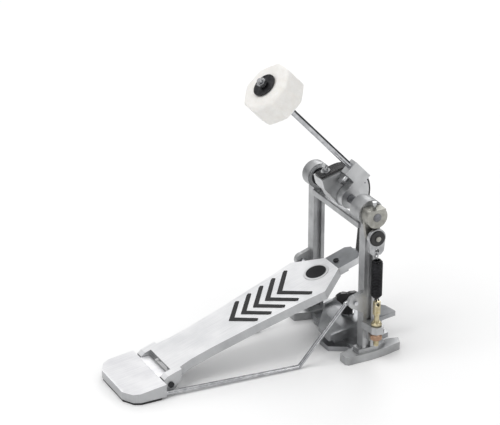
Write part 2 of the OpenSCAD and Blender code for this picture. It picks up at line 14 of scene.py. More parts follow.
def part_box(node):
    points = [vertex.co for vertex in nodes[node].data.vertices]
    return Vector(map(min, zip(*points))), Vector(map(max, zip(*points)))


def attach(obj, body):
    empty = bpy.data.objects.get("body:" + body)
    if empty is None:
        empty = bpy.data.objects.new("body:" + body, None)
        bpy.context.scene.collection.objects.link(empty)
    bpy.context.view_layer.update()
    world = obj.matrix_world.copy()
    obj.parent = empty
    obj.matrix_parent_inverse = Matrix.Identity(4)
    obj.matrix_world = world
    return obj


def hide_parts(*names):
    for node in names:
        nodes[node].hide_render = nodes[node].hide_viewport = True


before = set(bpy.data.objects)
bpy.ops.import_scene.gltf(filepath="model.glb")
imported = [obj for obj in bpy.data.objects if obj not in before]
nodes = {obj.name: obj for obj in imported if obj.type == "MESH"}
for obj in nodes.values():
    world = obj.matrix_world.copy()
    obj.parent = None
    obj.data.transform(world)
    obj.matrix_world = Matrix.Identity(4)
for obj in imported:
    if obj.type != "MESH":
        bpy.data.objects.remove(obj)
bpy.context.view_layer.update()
MM = 0.001
print("pieces from the model:", len(nodes))

# %% [markdown]
# Everything is seen through one long lens, as in a catalogue picture. A long lens far away keeps
# the board's two edges nearly parallel. The camera is placed first so that each later step can be
# judged from the same place.

# %% Camera
LENS_PLACE = Vector((1.86627, -1.07889, 1.13791))
LENS_AZIMUTH, LENS_HEIGHT = radians(62.77), radians(24.43)
LENS_MM, SENSOR_MM, FAR_CLIP = 147.38, 36, 50

def place_camera():
    backward = Vector((sin(LENS_AZIMUTH) * cos(LENS_HEIGHT), -cos(LENS_AZIMUTH) * cos(LENS_HEIGHT),
                       sin(LENS_HEIGHT)))
    right = Vector((cos(LENS_AZIMUTH), sin(LENS_AZIMUTH), 0))
    up = backward.cross(right)
    camera = bpy.data.objects.new("long_lens", bpy.data.cameras.new("long_lens"))
    bpy.context.collection.objects.link(camera)
    camera.matrix_world = Matrix((
        (right.x, up.x, backward.x, LENS_PLACE.x),
        (right.y, up.y, backward.y, LENS_PLACE.y),
        (right.z, up.z, backward.z, LENS_PLACE.z),
        (0, 0, 0, 1)))
    camera.data.sensor_width = SENSOR_MM
    camera.data.lens = LENS_MM
    camera.data.clip_end = FAR_CLIP
    bpy.context.scene.camera = camera

place_camera()
print("camera stands", round(LENS_PLACE.length, 2), "m away")

# %% [markdown]
# Polished metal shows the room more than itself. A pale floor, one big soft lamp above and to the
# left, and two weaker ones give the chrome long white bands. The sky has a dark band low on the
# horizon, like the dark end of a photographer's tent, and that band draws the dark line along
# each round rod. The floor is staging and not part of the pedal. The small helpers here build every
# material that follows: one adds a shader node, one a noise of a stated size, one sets the colours.

# %% Floor and lights
FLOOR_HALF = 6
FLOOR_DROP = 0.2 * MM
SKY_TONES = [(0.0, "#2E2F31"), (0.13, "#4A4B4D"), (0.2, "#DADBDD"), (0.45, "#F6F6F6"), (1.0, "#FFFFFF")]
SKY_STRENGTH = 0.82

def linear(hex_colour):
    parts = [int(hex_colour[i:i + 2], 16) / 255 for i in (1, 3, 5)]
    return tuple(c / 12.92 if c <= 0.04045 else ((c + 0.055) / 1.055) ** 2.4 for c in parts) + (1.0,)

def add(tree, kind, inputs=None, **settings):
    node = tree.nodes.new(kind)
    for name, value in settings.items():
        setattr(node, name, value)
    for name, value in (inputs or {}).items():
        if isinstance(value, bpy.types.NodeSocket):
            tree.links.new(value, node.inputs[name])
        else:
            node.inputs[name].default_value = value
    return node

def new_finish(name):
    material = bpy.data.materials.new(name)
    material.use_nodes = True
    material.node_tree.nodes.clear()
    return material, material.node_tree

def close_finish(tree, inputs):
    shader = add(tree, "ShaderNodeBsdfPrincipled", inputs)
    add(tree, "ShaderNodeOutputMaterial", {"Surface": shader.outputs[0]})

def grain(tree, place, size_mm, detail, more=None):
    return add(tree, "ShaderNodeTexNoise",
               {"Vector": place, "Scale": 1 / (size_mm * MM), "Detail": detail, **(more or {})})

def tones(tree, value, pairs):
    return stops(add(tree, "ShaderNodeValToRGB", {"Fac": value}), pairs).outputs["Color"]

def rough_spread(tree, value, rough, under, over):
    return add(tree, "ShaderNodeMapRange",
               {"Value": value, "To Min": rough - under, "To Max": rough + over}).outputs["Result"]

def bumped(tree, height, strength, depth_mm):
    return add(tree, "ShaderNodeBump",
               {"Height": height, "Strength": strength, "Distance": depth_mm * MM}).outputs["Normal"]

def stops(node, pairs):
    ramp = node.color_ramp
    while len(ramp.elements) < len(pairs):
        ramp.elements.new(1.0)
    for element, (place, colour) in zip(ramp.elements, pairs):
        element.position = place
        element.color = linear(colour)
    return node

def soft_lamp(name, place, target, size, watts):
    lamp = bpy.data.objects.new(name, bpy.data.lights.new(name, "AREA"))
    lamp.data.shape = "RECTANGLE"
    lamp.data.size, lamp.data.size_y = size
    lamp.data.energy = watts
    lamp.location = place
    lamp.rotation_euler = (Vector(target) - Vector(place)).to_track_quat("-Z", "Y").to_euler()
    bpy.context.collection.objects.link(lamp)

def build_studio():
    paper, tree = new_finish("matt_paper")
    fibre = add(tree, "ShaderNodeTexNoise", {"Scale": 40.0, "Detail": 3.0})
    close_finish(tree, {"Base Color": tones(tree, fibre.outputs["Fac"], [(0, "#F9F9F9"), (1, "#FCFCFC")]),
                        "Roughness": 0.9, "Specular IOR Level": 0.1})
    mesh = bpy.data.meshes.new("floor")
    corners = [(FLOOR_HALF * x, FLOOR_HALF * y, 0) for x, y in ((-1, -1), (1, -1), (1, 1), (-1, 1))]
    mesh.from_pydata(corners, [], [(0, 1, 2, 3)])
    mesh.materials.append(paper)
    floor = bpy.data.objects.new("floor", mesh)
    bpy.context.collection.objects.link(floor)
    floor.location.z = -FLOOR_DROP
    sky = bpy.data.worlds.new("studio_sky")
    bpy.context.scene.world = sky
    sky.use_nodes = True
    sky.node_tree.nodes.clear()
    where = add(sky.node_tree, "ShaderNodeTexCoord")
    split = add(sky.node_tree, "ShaderNodeSeparateXYZ", {"Vector": where.outputs["Generated"]})
    tone = tones(sky.node_tree, split.outputs["Z"], SKY_TONES)
    light = add(sky.node_tree, "ShaderNodeBackground", {"Color": tone, "Strength": SKY_STRENGTH})
    add(sky.node_tree, "ShaderNodeOutputWorld", {"Surface": light.outputs[0]})
    soft_lamp("key_lamp", (0.2, -1.3, 1.9), (0, -0.1, 0.1), (1.2, 1.2), 15)
    soft_lamp("rim_lamp", (-1.4, 0.9, 1.2), (0, 0, 0.15), (0.8, 1.4), 7)
    soft_lamp("side_lamp", (1.7, 0.8, 0.7), (0, 0, 0.12), (0.5, 1.1), 4)

build_studio()
bpy.context.scene.view_settings.view_transform = "Standard"
print("floor, sky and three lamps")

# %% [markdown]
# Die-cast aluminium comes out of its mould a little uneven and is then tumbled, which leaves a
# satin skin of small soft dents. It reflects as a blurred grey. A fine noise of about a millimetre
# makes the dents, and a wide one of 20 mm makes the tone wander as it does on a real casting.
# One function serves every casting, and each piece gets its own tone and dent depth. The toe plate
# is given a darker tone on its face than on its sides, and the two tones are mixed by which way
# each face looks.

# %% Die-cast aluminium
def cast_aluminium(name, dark, light, rough=0.36, dent_mm=0.06, dent_width_mm=0.9, tone_width_mm=20):
    material, tree = new_finish(name)
    place = add(tree, "ShaderNodeTexCoord").outputs["Object"]
    wide = grain(tree, place, tone_width_mm, 4.0).outputs["Fac"]
    fine = grain(tree, place, dent_width_mm, 3.0).outputs["Fac"]
    close_finish(tree, {
        "Base Color": tones(tree, wide, [(0.3, dark), (0.72, light)]), "Metallic": 0.92,
        "Roughness": rough_spread(tree, fine, rough, 0.07, 0.12),
        "Normal": bumped(tree, fine, 0.7, dent_mm)})
    return material

post_casting = cast_aluminium("cast_aluminium_posts", "#98999A", "#BCBDBE", rough=0.42, dent_mm=0.12)
dark_casting = cast_aluminium("cast_aluminium_base", "#8B8D8F", "#B0B1B3", rough=0.33, dent_mm=0.09)
holder_casting = cast_aluminium("cast_aluminium_holder", "#B2B3B4", "#CACBCC", rough=0.38)

MIX_COLOUR_A, MIX_COLOUR_B, MIX_COLOUR_OUT = 6, 7, 2
BOARD_SLOPE = radians(18)
BOARD_UP = (0, -sin(BOARD_SLOPE), cos(BOARD_SLOPE))
HEEL_UP = (0, -0.11, 0.99)

# Mixes a second tone onto the faces that turn away from up. On the board and heel plate this is painted
# shade: their sides are darker than their tops.
def mix_tone_by_facing(material, up, side_dark, side_light):
    tree = material.node_tree
    shader = next(n for n in tree.nodes if n.type == "BSDF_PRINCIPLED")
    face_tone = shader.inputs["Base Color"].links[0].from_node
    cloud = face_tone.inputs["Fac"].links[0].from_socket
    side_tone = tones(tree, cloud, [(0.3, side_dark), (0.72, side_light)])
    normal = add(tree, "ShaderNodeTexCoord").outputs["Normal"]
    facing = add(tree, "ShaderNodeVectorMath", {0: normal, 1: up}, operation="DOT_PRODUCT")
    upper = add(tree, "ShaderNodeMapRange",
                {"Value": facing.outputs["Value"], "From Min": 0.8, "From Max": 0.95})
    both = add(tree, "ShaderNodeMix", {
        "Factor": upper.outputs["Result"], MIX_COLOUR_A: side_tone,
        MIX_COLOUR_B: face_tone.outputs["Color"]}, data_type="RGBA")
    tree.links.new(both.outputs[MIX_COLOUR_OUT], shader.inputs["Base Color"])

# The toe plate's face gets the darker tone and its sides the lighter, mixed by which way each face looks.
toe_casting = cast_aluminium("cast_aluminium_toe", "#808284", "#95979A", rough=0.42)
mix_tone_by_facing(toe_casting, BOARD_UP, "#BFC0C2", "#D6D7D8")
print("four castings")

# %% [markdown]
# The board and the heel plate are aluminium drawn over an abrasive belt from heel to toe. The belt
# leaves long fine scratches, and the light spreads across them. The noise is squeezed across the
# board and stretched along it, so it runs with the belt on the slope and on the flat alike. Real
# scratches are finer; these are drawn as coarse as they show, 0.7 mm wide and 45 mm long. The sides
# are painted a greyer tone than the tops: this is painted shade, where they turn away from the light.

# %% Brushed aluminium
SCRATCH_WIDE_MM, SCRATCH_LONG_MM, CLOUD_MM = 0.7, 45, 35

def brushed_aluminium(name, dark, light, rough, scratch_mm):
    material, tree = new_finish(name)
    place = add(tree, "ShaderNodeTexCoord").outputs["Object"]
    along = 1 / (SCRATCH_LONG_MM * MM)
    drawn = add(tree, "ShaderNodeMapping",
                {"Vector": place, "Scale": (1 / (SCRATCH_WIDE_MM * MM), along, along)})
    lines = add(tree, "ShaderNodeTexNoise", {"Vector": drawn.outputs["Vector"], "Scale": 1.0,
                                             "Detail": 5.0, "Roughness": 0.6}).outputs["Fac"]
    cloud = grain(tree, place, CLOUD_MM, 3.0).outputs["Fac"]
    both = add(tree, "ShaderNodeMath", {0: lines, 1: cloud}, operation="ADD")
    half = add(tree, "ShaderNodeMath", {0: both.outputs[0], 1: 0.5}, operation="MULTIPLY")
    close_finish(tree, {
        "Base Color": tones(tree, half.outputs[0], [(0.34, dark), (0.62, light)]), "Metallic": 0.72,
        "Roughness": rough_spread(tree, lines, rough, 0.08, 0.12),
        "Normal": bumped(tree, lines, 0.35, scratch_mm)})
    return material

board_face = brushed_aluminium("brushed_aluminium_board", "#E2E3E5", "#FAFAFB", 0.42, 0.05)
heel_face = brushed_aluminium("brushed_aluminium_heel", "#E0E0E3", "#F8F8F9", 0.4, 0.05)
# Painted shade: the sides of the board and heel plate get a darker grey than their brushed tops.
mix_tone_by_facing(board_face, BOARD_UP, "#A9AAAC", "#C4C5C6")
mix_tone_by_facing(heel_face, HEEL_UP, "#A6A7A9", "#C2C3C4")
print("brushed board and heel")

# %% [markdown]
# Turned pieces keep the marks of the lathe tool, and plated rods are smooth with a bright mirror.
# Both are metals, so their colour sits in the reflection. A faint slanting wave stands for the tool
# marks, and a noise of 6 mm adds a few dull specks. Plating gets a longer and much fainter ripple.

# %% Turned steel, machined aluminium and chrome
STAIN_MM = 6
WAVE_BASE = 20

def turned_metal(name, dark, light, rough, ripple_mm=0.5, depth_mm=0.03):
    material, tree = new_finish(name)
    place = add(tree, "ShaderNodeTexCoord").outputs["Object"]
    marks = add(tree, "ShaderNodeTexWave",
                {"Vector": place, "Scale": 1 / (WAVE_BASE * ripple_mm * MM), "Distortion": 1.2,
                 "Detail": 2.0}, wave_type="BANDS", bands_direction="DIAGONAL")
    stain = grain(tree, place, STAIN_MM, 4.0).outputs["Fac"]
    close_finish(tree, {
        "Base Color": tones(tree, stain, [(0.32, dark), (0.68, light)]), "Metallic": 1.0,
        "Roughness": rough_spread(tree, stain, rough, 0.06, 0.1),
        "Normal": bumped(tree, marks.outputs["Fac"], 0.3, depth_mm)})
    return material

ground_steel = turned_metal("ground_steel", "#66676A", "#85868A", 0.3)
chrome_plate = turned_metal("chrome_plate", "#A9AAAD", "#CBCCCE", 0.11, ripple_mm=1.2, depth_mm=0.01)
turned_steel = turned_metal("turned_steel", "#9FA0A2", "#C4C5C6", 0.22)
nickel_plate = turned_metal("satin_nickel_plate", "#92918B", "#AFAEA8", 0.46)
machined_alloy = turned_metal("machined_aluminium", "#9D9EA0", "#BEBFC0", 0.33)
yellow_zinc = turned_metal("yellow_zinc_plate", "#ACA07F", "#CFC6A8", 0.3)
copper_plate = turned_metal("dull_copper_plate", "#9D7E69", "#B99A83", 0.34)
dark_steel = turned_metal("dark_plated_steel", "#2A2A2C", "#49494B", 0.32)
print("eight turned and plated metals")

# %% [markdown]
# Rubber, moulded nylon and oxide-blacked wire are all black, yet each shines in its own way:
# rubber is dull and dusty, moulded nylon has a soft gloss with a fine pebble, and the wire has an
# oily sheen. The colour is never pure black, because real blacks send back a few per cent.

# %% Black rubber, nylon and blacked wire
DUST_MM = 9

def black_mould(name, dark, light, rough, pebble_mm, depth_mm, metallic=0.0):
    material, tree = new_finish(name)
    place = add(tree, "ShaderNodeTexCoord").outputs["Object"]
    pebble = add(tree, "ShaderNodeTexVoronoi", {"Vector": place, "Scale": 1 / (pebble_mm * MM)})
    dust = grain(tree, place, DUST_MM, 5.0).outputs["Fac"]
    close_finish(tree, {
        "Base Color": tones(tree, dust, [(0.35, dark), (0.75, light)]), "Metallic": metallic,
        "Roughness": rough_spread(tree, dust, rough, 0.08, 0.1),
        "Normal": bumped(tree, pebble.outputs["Distance"], 0.4, depth_mm)})
    return material

rubber = black_mould("black_rubber", "#1B1B1C", "#29292A", 0.7, 0.6, 0.08)
nylon = black_mould("moulded_black_nylon", "#141415", "#232324", 0.38, 0.5, 0.04)
blacked_wire = black_mould("oxide_blacked_wire", "#1D1D1F", "#37373A", 0.33, 0.4, 0.02, metallic=0.75)
print("three blacks")

# %% [markdown]
# Webbing is nylon yarn woven tight. Warp threads run along the strap, half a millimetre apart, and
# finer weft threads cross it, so two crossed waves make small pillows. The waves follow the strap's
# own length and width. The sheen is the light caught by yarn ends at a low angle.

# %% Nylon webbing
def nylon_webbing():
    material, tree = new_finish("woven_nylon_webbing")
    place = add(tree, "ShaderNodeTexCoord").outputs["UV"]
    warp = add(tree, "ShaderNodeTexWave", {"Vector": place, "Scale": 6.5}, bands_direction="X")
    weft = add(tree, "ShaderNodeTexWave", {"Vector": place, "Scale": 26.0}, bands_direction="Y")
    weave = add(tree, "ShaderNodeMath", {0: warp.outputs["Fac"], 1: weft.outputs["Fac"]},
                operation="MULTIPLY")
    close_finish(tree, {
        "Base Color": tones(tree, weave.outputs[0], [(0, "#0F0F10"), (1, "#2B2B2D")]), "Roughness": 0.72,
        "Sheen Weight": 0.35, "Sheen Roughness": 0.4, "Normal": bumped(tree, weave.outputs[0], 0.8, 0.2)})
    return material

webbing = nylon_webbing()

# %% [markdown]
# Felt is wool pressed until it stands like cork. It has no threads, only short fibres lying every
# way, so a twisted fine noise is laid over a soft lump noise. Light goes a little way in, which
# lifts its shadows, and a warm white keeps it from looking like plaster.

# %% Pressed wool felt
def pressed_wool():
    material, tree = new_finish("pressed_wool_felt")
    place = add(tree, "ShaderNodeTexCoord").outputs["Object"]
    fibre = grain(tree, place, 1.1, 6.0, {"Roughness": 0.72, "Distortion": 1.6}).outputs["Fac"]
    lump = grain(tree, place, 7, 4.0).outputs["Fac"]
    both = add(tree, "ShaderNodeMath", {0: fibre, 1: lump}, operation="ADD")
    half = add(tree, "ShaderNodeMath", {0: both.outputs[0], 1: 0.5}, operation="MULTIPLY").outputs[0]
    close_finish(tree, {
        "Base Color": tones(tree, half, [(0.34, "#E9E6E1"), (0.5, "#EFEDE9"), (0.66, "#F5F3F0")]),
        "Roughness": 0.95, "Specular IOR Level": 0.15, "Subsurface Weight": 0.12,
        "Subsurface Radius": (3 * MM, 2.6 * MM, 2.2 * MM), "Subsurface Scale": 1.0,
        "Sheen Weight": 0.4, "Sheen Roughness": 0.5, "Normal": bumped(tree, half, 0.75, 0.7)})
    return material

felt = pressed_wool()
print("webbing and felt")

# %% [markdown]
# The small round badge near the toe is plain here: a dark anodised face with a bright turned rim.
# The rings are measured from the badge's own centre, so the rim follows the disc.

# %% Anodised badge
RIM_INSIDE, RIM_OUTSIDE = 0.81, 0.84
GROOVES = 120

def anodised_badge(disc):
    low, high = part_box(disc)
    middle = (Vector(low) + Vector(high)) / 2
    reach = (high[0] - low[0]) / 2
    material, tree = new_finish("anodised_badge")
    place = add(tree, "ShaderNodeTexCoord").outputs["Object"]
    offset = add(tree, "ShaderNodeVectorMath", {0: place, 1: tuple(middle)}, operation="SUBTRACT")
    away = add(tree, "ShaderNodeVectorMath", {0: offset.outputs[0]}, operation="LENGTH")
    share = add(tree, "ShaderNodeMath", {0: away.outputs["Value"], 1: reach}, operation="DIVIDE").outputs[0]
    groove = add(tree, "ShaderNodeMath", {0: share, 1: float(GROOVES)}, operation="MULTIPLY")
    wave = add(tree, "ShaderNodeMath", {0: groove.outputs[0]}, operation="SINE")
    face = [(0.0, "#1D1D1F"), (RIM_INSIDE, "#262628"), (RIM_OUTSIDE, "#D9DADB"), (1.0, "#E4E4E5")]
    close_finish(tree, {"Base Color": tones(tree, share, face), "Metallic": 0.85, "Roughness": 0.36,
                        "Normal": bumped(tree, wave.outputs[0], 0.25, 0.03)})
    return material

badge = anodised_badge("board_disc")

# %% [markdown]
# Each model piece now takes the finish of the real one. A mould or a file always leaves a small
# round on an edge, and that round is what catches the light, so the pieces with sharp edges get a
# fine bevel as well. The bevel is a modifier, so the exact shape underneath stays as it was.

# %% Dress the model's own pieces
finish_of = {
    post_casting: ["left_post", "right_post", "yoke_bar"],
    dark_casting: ["base_plate", "clamp_jaw"],
    toe_casting: ["toe_plate"],
    holder_casting: ["beater_holder", "cam"],
    board_face: ["footboard"],
    heel_face: ["heel_plate"],
    chrome_plate: ["stay_left", "stay_right", "beater_rod"],
    ground_steel: ["axle"],
    turned_steel: ["jaw_pin", "wing_washer", "strap_bolt", "lever_screw", "head_nut", "holder_bolt"],
    nickel_plate: ["spring_lever", "strap_clip"],
    machined_alloy: ["link_plate"],
    yellow_zinc: ["tension_rod"],
    dark_steel: ["bearing_left", "bearing_right", "hinge_pin", "head_washer", "head_collar", "toe_screw"],
    rubber: ["heel_sole", "clamp_pad", "jaw_pad", "grip_strips"],
    nylon: ["wing_screw", "link_bush"],
    badge: ["board_disc"],
}
for material, names in finish_of.items():
    for name in names:
        mesh = nodes[name].data
        if mesh.materials:
            for i in range(len(mesh.materials)):
                mesh.materials[i] = material
        else:
            mesh.materials.append(material)

WELD_MM, BEVEL_STEPS, BEVEL_FROM = 0.01, 3, radians(38)
edge_round_mm = {"left_post": 0.9, "right_post": 0.9, "yoke_bar": 0.6, "base_plate": 0.8, "clamp_jaw": 0.8,
                 "footboard": 0.7, "heel_plate": 0.9, "toe_plate": 0.8, "beater_holder": 1.1, "cam": 0.5,
                 "spring_lever": 0.4, "link_plate": 0.4, "wing_screw": 0.5, "head_nut": 0.4,
                 "strap_clip": 0.4, "holder_bolt": 0.4, "strap_bolt": 0.25, "grip_strips": 0.4,
                 "heel_sole": 0.5}
for name, width in edge_round_mm.items():
    weld = nodes[name].modifiers.new("weld", "WELD")
    weld.merge_threshold = WELD_MM * MM
    bevel = nodes[name].modifiers.new("edge_round", "BEVEL")
    bevel.width = width * MM
    bevel.segments = BEVEL_STEPS
    bevel.limit_method = "ANGLE"
    bevel.angle_limit = BEVEL_FROM
    bevel.harden_normals = False
print("bevelled", len(edge_round_mm), "pieces")

# %% [markdown]
# Several pieces are a profile spun round a line or a tube swept along one. Two helpers make them:
# one joins rings of points into a closed skin, the other carries a round section along a path and
# turns it as little as possible, so wire doesn't twist. A skin is closed by flat ends, or through
# its bore, where the last ring is joined to the first.

# %% Skin and tube helpers
def new_piece(name, points, faces, material):
    mesh = bpy.data.meshes.new(name)
    mesh.from_pydata([tuple(p) for p in points], [], faces)
    mesh.materials.append(material)
    mesh.update()
    work = bmesh.new()
    work.from_mesh(mesh)
    bmesh.ops.recalc_face_normals(work, faces=work.faces)
    work.to_mesh(mesh)
    work.free()
    for face in mesh.polygons:
        face.use_smooth = True
    piece = bpy.data.objects.new(name, mesh)
    bpy.context.collection.objects.link(piece)
    return piece

def skin(rings, through_bore=False):
    count = len(rings[0])
    last = (len(rings) - 1) * count
    points = [p for ring in rings for p in ring]
    faces = [(i + k, i + (k + 1) % count, i + count + (k + 1) % count, i + count + k)
             for i in range(0, last, count) for k in range(count)]
    if through_bore:
        faces += [(k, (k + 1) % count, last + (k + 1) % count, last + k) for k in range(count)]
    else:
        faces += [tuple(range(count)), tuple(range(last, last + count))]
    return points, faces

def heading(path, i):
    return (path[min(i + 1, len(path) - 1)] - path[max(i - 1, 0)]).normalized()

def tube(path, radius, sides):
    path = [Vector(p) for p in path]
    rings = []
    side = heading(path, 0).orthogonal().normalized()
    for i, point in enumerate(path):
        ahead = heading(path, i)
        side = (side - ahead * side.dot(ahead)).normalized()
        other = ahead.cross(side)
        r = radius(i / (len(path) - 1)) if callable(radius) else radius
        rings.append([point + (side * cos(2 * pi * k / sides) + other * sin(2 * pi * k / sides)) * r
                      for k in range(sides)])
    return skin(rings)

def joined(*parts):
    points, faces = [], []
    for more_points, more_faces in parts:
        start = len(points)
        points += list(more_points)
        faces += [tuple(i + start for i in face) for face in more_faces]
    return points, faces

# %% [markdown]
# The beater's own line leans back from the axle. The rod's points are fitted with a straight line
# seen from the side, which gives its lean and both its ends. The felt and the threads are then
# placed along that line without repeating any of the model's numbers.

# %% The beater's line
def rod_line():
    low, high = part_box("beater_rod")
    points = [v.co for v in nodes["beater_rod"].data.vertices]
    middle = sum(points, Vector()) / len(points)
    spread = sum((p - middle).y * (p - middle).z for p in points)
    tilt = 0.5 * atan2(2 * spread, sum((p - middle).y ** 2 - (p - middle).z ** 2 for p in points))
    along = Vector((0, cos(tilt), sin(tilt)))
    if along.z < 0:
        along = -along
    steps = [(p - middle).dot(along) for p in points]
    across = along.cross(Vector((1, 0, 0)))
    offs = [(p - middle).dot(across) for p in points]
    middle = middle + across * (max(offs) + min(offs)) / 2
    middle.x = (low[0] + high[0]) / 2
    return middle + along * min(steps), middle + along * max(steps), along

rod_foot, rod_tip, rod_way = rod_line()
print("beater rod", round((rod_tip - rod_foot).length / MM, 1), "mm long, leaning",
      round(degrees(acos(rod_way.z)), 1), "degrees")

def along_span(name):
    steps = [(v.co - rod_foot).dot(rod_way) for v in nodes[name].data.vertices]
    return min(steps), max(steps)

# %% [markdown]
# The beater's felt is punched from thick pressed sheet and clamped on the rod between a collar and
# a washer. It's a short drum with eased edges, pressed a little flat on eight sides, and the washer
# has bitten a shallow dish into its end. Felt is too stiff to drape, so instead of a cloth
# simulation its skin is made from rings, from the bore at the collar's end, round the side and back
# to the bore under the washer. Then every point is pushed a fraction of a millimetre by two noises,
# which gives the uneven outline of real wool.

# %% Felt head
FELT_EASE = 5.0 * MM
FELT_FLATS, FLAT_SHARE, FLAT_FROM = 8, 0.85, 14 * MM
FUZZ_FROM, FUZZ_INSIDE = 12 * MM, 0.05 * MM
FUZZ_NOISES = ((160, 0.35 * MM), (600, 0.14 * MM))
FELT_AROUND = 144

def felt_outline(bore, reach, span):
    e, step_in = FELT_EASE, 0.3 * MM
    bend = [radians(15 * k) for k in range(1, 6)]
    outline = [(bore + 0.1 * MM, 1.2 * MM), (9.5 * MM, 1.0 * MM), (12 * MM, 0.5 * MM),
               (15 * MM, 0.2 * MM), (reach - e, step_in)]
    outline += [(reach - e + e * sin(a), e - e * cos(a) + step_in) for a in bend]
    outline += [(reach - 0.2 * MM, e + 0.5 * MM)]
    outline += [(reach - 0.35 * MM * (1 - (2 * t - 1) ** 2), e + (span - 2 * e) * t)
                for t in [k / 10 for k in range(1, 10)]]
    outline += [(reach - e + e * cos(a), span - e + e * sin(a) - step_in) for a in bend]
    outline += [(reach - e, span - step_in), (18 * MM, span - 0.2 * MM), (15.4 * MM, span - 0.6 * MM),
                (14.2 * MM, span - 1.0 * MM), (9 * MM, span - 1.1 * MM), (bore + 0.1 * MM, span - 1.1 * MM)]
    return outline

def felt_radius(radius, angle, reach):
    wedge = 2 * pi / FELT_FLATS
    facet = (angle / wedge + 0.5) % 1 - 0.5
    flat = cos(wedge / 2) / cos(facet * wedge)
    share = min(1.0, max(0.0, (radius - FLAT_FROM) / (reach - FLAT_FROM)))
    return radius * (1 + (flat - 1) * FLAT_SHARE * share)

def felt_head():
    start, stop = along_span("felt_head")
    points = [v.co - rod_foot for v in nodes["felt_head"].data.vertices]
    radii = [(p - rod_way * p.dot(rod_way)).length for p in points]
    bore, reach = min(radii), max(radii)
    side = Vector((1, 0, 0))
    up = rod_way.cross(side)
    rings = []
    for radius, step in felt_outline(bore, reach, stop - start):
        centre = rod_foot + rod_way * (start + step)
        ring = []
        for k in range(FELT_AROUND):
            angle = 2 * pi * k / FELT_AROUND
            out = side * cos(angle) + up * sin(angle)
            r = felt_radius(radius, angle, reach)
            if radius > FUZZ_FROM:
                point = centre + out * r
                push = sum(noise.noise(point * rate) * depth for rate, depth in FUZZ_NOISES)
                r = min(r + push, reach - FUZZ_INSIDE)
            ring.append(centre + out * r)
        rings.append(ring)
    head = new_piece("felt_beater_head", *skin(rings, through_bore=True), felt)
    soften = head.modifiers.new("soften", "SUBSURF")
    soften.levels = soften.render_levels = 1
    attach(head, "beater")
    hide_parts("felt_head")
    return head

head = felt_head()
print("felt head has", len(head.data.polygons), "faces before softening")

# %% [markdown]
# A screw thread is a ridge wound round a rod. Drawn as geometry it catches light as short bright
# bars. Each ridge is a thin tube on a helix, fading at both ends and sunk halfway into the rod that
# carries it.

# %% Screw threads
POINTS_PER_TURN = 20
THREAD_PITCH, THREAD_WIDTH = 1.0 * MM, 0.34
THREAD_TIP, THREAD_FADE = 0.15, 12
BEATER_THREAD_RADIUS = 2.75 * MM

def thread(name, start, way, length, radius, material, body):
    way = Vector(way).normalized()
    side = way.orthogonal().normalized()
    up = way.cross(side)
    turns = length / THREAD_PITCH
    count = int(turns * POINTS_PER_TURN)
    path = [Vector(start) + way * (length * i / count)
            + (side * cos(2 * pi * turns * i / count) + up * sin(2 * pi * turns * i / count)) * radius
            for i in range(count + 1)]

    def ridge(t):
        fade = THREAD_FADE * min(t, 1 - t) + THREAD_TIP
        return THREAD_PITCH * THREAD_WIDTH * min(1, fade)

    piece = new_piece(name, *tube(path, ridge, 6), material)
    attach(piece, body)

nut_top = along_span("head_nut")[1]
rod_end = (rod_tip - rod_foot).length
thread("beater_thread", rod_foot + rod_way * (nut_top + 0.3 * MM), rod_way, rod_end - nut_top - 1.0 * MM,
       BEATER_THREAD_RADIUS, turned_steel, "beater")
print("thread on the beater's end")

# %% [markdown]
# The return spring is close-wound wire with a hook at each end. The model holds a plain sleeve in
# its place. Here the coil is one long tube of blacked wire, drawn in at both ends, with a hook
# below that holds the tension rod. The upper hook is a separate loop of bright wire that hangs in
# the link, and its shank runs down inside the coil, so it stays joined while the link moves.

# %% Return spring
WIRE, EYE_WIRE = 0.85 * MM, 0.95 * MM
HOOK_REACH, HOOK_END_GAP, HOOK_SETBACK = 4.5 * MM, 1.0 * MM, 3.8 * MM
COIL_GAP, COIL_POINTS, COIL_RISE = 1.07, 28, 1.4 * MM
COIL_NECK, NECK_RATE = 0.62, 6.08
EYE_SHANK, EYE_POINTS, HOOK_POINTS = 14 * MM, 22, 14

def lower_hook(x, y, eye_y, base, bottom):
    curve = [radians(-250 + 250 * i / (HOOK_POINTS - 1)) for i in range(HOOK_POINTS)]
    path = [(x + HOOK_REACH * sin(a) * 0.95, eye_y, base + HOOK_REACH - HOOK_REACH * cos(a))
            for a in curve]
    return tube(path + [(x + 0.2 * MM, y, bottom - 1.2 * MM), (x + 1.2 * MM, y, bottom)], WIRE, 8)

def wound_coil(x, y, bottom, top, radius, turns):
    path = []
    for i in range(9):
        t = i / 8
        r = radius * t
        path.append((x + r * cos(pi * t), y + r * sin(pi * t), bottom - COIL_RISE * (1 - t)))
    steps = turns * COIL_POINTS
    for i in range(1, steps + 1):
        a = pi + 2 * pi * i / COIL_POINTS
        t = i / steps
        r = radius * min(1, COIL_NECK + NECK_RATE * t, COIL_NECK + NECK_RATE * (1 - t))
        path.append((x + r * cos(a), y + r * sin(a), bottom + (top - bottom) * t))
    return tube(path, WIRE, 8)

def upper_eye(x, y, centre, top):
    loop = []
    for i in range(EYE_POINTS):
        a = radians(200 - 340 * i / (EYE_POINTS - 1))
        loop.append(centre + Vector((HOOK_REACH * sin(a) * 0.96, 0, HOOK_REACH * cos(a))))
    loop += [centre + Vector((0.6 * MM, y * 0.4, -HOOK_REACH - 1.4 * MM)),
             Vector((x, y * 0.8, top + 2.0 * MM)), Vector((x, y, top - 1.0 * MM)),
             Vector((x, y, top - EYE_SHANK))]
    return tube(loop, EYE_WIRE, 10)

